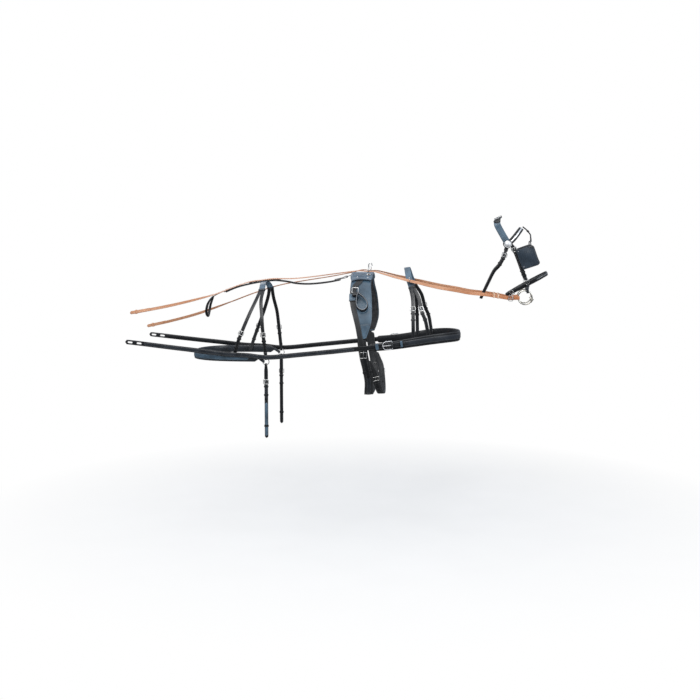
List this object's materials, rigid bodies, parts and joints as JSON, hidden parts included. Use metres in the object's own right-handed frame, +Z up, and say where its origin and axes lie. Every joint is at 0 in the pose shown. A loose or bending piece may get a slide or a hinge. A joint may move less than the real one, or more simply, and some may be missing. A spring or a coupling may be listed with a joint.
{
  "type": "driving harness",
  "caption": "Single driving harness of black leather: bridle with blinkers and bit, breast collar, saddle with shaft tugs, breeching, crupper, traces and tan reins, laid out as worn.",
  "frame": {"origin": "top of the horse's back under the saddle, on the middle plane", "axes": "+X towards the head, +Y to the horse's left, +Z up"},
  "size_m": [2.4795, 0.5734, 1.2907],
  "materials": {
    "black_leather": "smooth black bridle leather with a soft blue-grey sheen",
    "black_padding": "soft black lining leather over stuffing",
    "tan_leather": "smooth tan rein leather, lightly worn",
    "bright_metal": "polished nickel silver and stainless steel"
  },
  "bodies": {
    "harness": {"headpiece": "black_leather", "browband": "black_leather", "rosette_R": "bright_metal", "rosette_L": "bright_metal", "cheekpiece_R": "black_leather", "cheekpiece_L": "black_leather", "bit_strap_R": "black_leather", "bit_strap_L": "black_leather", "noseband": "black_leather", "throatlash": "black_leather", "blinker_R": "black_leather", "blinker_L": "black_leather", "winker_stay": "black_leather", "rein_R": "tan_leather", "rein_L": "tan_leather", "rein_buckle_R": "bright_metal", "rein_buckle_L": "bright_metal", "neck_strap": "black_leather", "neck_ring_R": "bright_metal", "neck_ring_L": "bright_metal", "breast_collar": "black_leather", "trace_R": "black_leather", "trace_L": "black_leather", "trace_buckle_R": "bright_metal", "trace_buckle_L": "bright_metal", "saddle_pad_R": "black_padding", "saddle_pad_L": "black_padding", "saddle_flap_R": "black_leather", "saddle_flap_L": "black_leather", "saddle_tree": "black_leather", "terret_R": "bright_metal", "terret_L": "bright_metal", "rein_hook": "bright_metal", "saddle_dee": "bright_metal", "back_band": "black_leather", "tug_keeper_R": "black_leather", "tug_keeper_L": "black_leather", "tug_buckle_R": "bright_metal", "tug_buckle_L": "bright_metal", "girth": "black_leather", "girth_buckle_R": "bright_metal", "girth_buckle_L": "bright_metal", "belly_band": "black_leather", "back_strap": "black_leather", "crupper": "black_leather", "hip_strap": "black_leather", "breeching_seat": "black_leather"},
    "bit_ring_R": {"bit_ring_R": "bright_metal"},
    "bit_ring_L": {"bit_ring_L": "bright_metal"},
    "mouthpiece": {"mouthpiece": "bright_metal"},
    "shaft_tug_R": {"shaft_tug_R": "black_leather"},
    "shaft_tug_L": {"shaft_tug_L": "black_leather"},
    "breeching_ring_R": {"breeching_ring_R": "bright_metal"},
    "breeching_ring_L": {"breeching_ring_L": "bright_metal"},
    "holdback_R": {"holdback_strap_R": "black_leather"},
    "holdback_L": {"holdback_strap_L": "black_leather"},
    "trace_tongue_R": {"trace_tongue_R": "bright_metal"},
    "trace_tongue_L": {"trace_tongue_L": "bright_metal"}
  },
  "joints": [
    {"name": "bit_ring_turn_R", "type": "hinge", "parent": "harness", "child": "bit_ring_R", "pos_m": [0.93694, -0.07772, -0.08777], "axis": [0, 1, 0], "continuous": true},
    {"name": "bit_ring_turn_L", "type": "hinge", "parent": "harness", "child": "bit_ring_L", "pos_m": [0.93694, 0.07772, -0.08777], "axis": [0, 1, 0], "continuous": true},
    {"name": "mouthpiece_swing", "type": "hinge", "parent": "harness", "child": "mouthpiece", "pos_m": [0.97624, 0, -0.09757], "axis": [0, 1, 0], "range_deg": [-20, 20]},
    {"name": "shaft_tug_swing_R", "type": "hinge", "parent": "harness", "child": "shaft_tug_R", "pos_m": [-0.04582, -0.18897, -0.0598], "axis": [-1, 0, 0], "range_deg": [0, 70]},
    {"name": "shaft_tug_swing_L", "type": "hinge", "parent": "harness", "child": "shaft_tug_L", "pos_m": [-0.04582, 0.18897, -0.0598], "axis": [1, 0, 0], "range_deg": [0, 70]},
    {"name": "breeching_ring_turn_R", "type": "hinge", "parent": "harness", "child": "breeching_ring_R", "pos_m": [-0.56011, -0.26196, -0.46096], "axis": [0, 1, 0], "continuous": true},
    {"name": "breeching_ring_turn_L", "type": "hinge", "parent": "harness", "child": "breeching_ring_L", "pos_m": [-0.56011, 0.26196, -0.46096], "axis": [0, 1, 0], "continuous": true},
    {"name": "holdback_swing_R", "type": "hinge", "parent": "harness", "child": "holdback_R", "pos_m": [-0.56011, -0.26196, -0.46096], "axis": [0, -1, 0], "range_deg": [-12, 80]},
    {"name": "holdback_swing_L", "type": "hinge", "parent": "harness", "child": "holdback_L", "pos_m": [-0.56011, 0.26196, -0.46096], "axis": [0, -1, 0], "range_deg": [-12, 80]},
    {"name": "trace_tongue_lift_R", "type": "hinge", "parent": "harness", "child": "trace_tongue_R", "pos_m": [0.17696, -0.24561, -0.35711], "axis": [-0.0985, -0.014, 0.995], "range_deg": [0, 30]},
    {"name": "trace_tongue_lift_L", "type": "hinge", "parent": "harness", "child": "trace_tongue_L", "pos_m": [0.17696, 0.24561, -0.35711], "axis": [0.0985, -0.014, -0.995], "range_deg": [0, 30]}
  ]
}
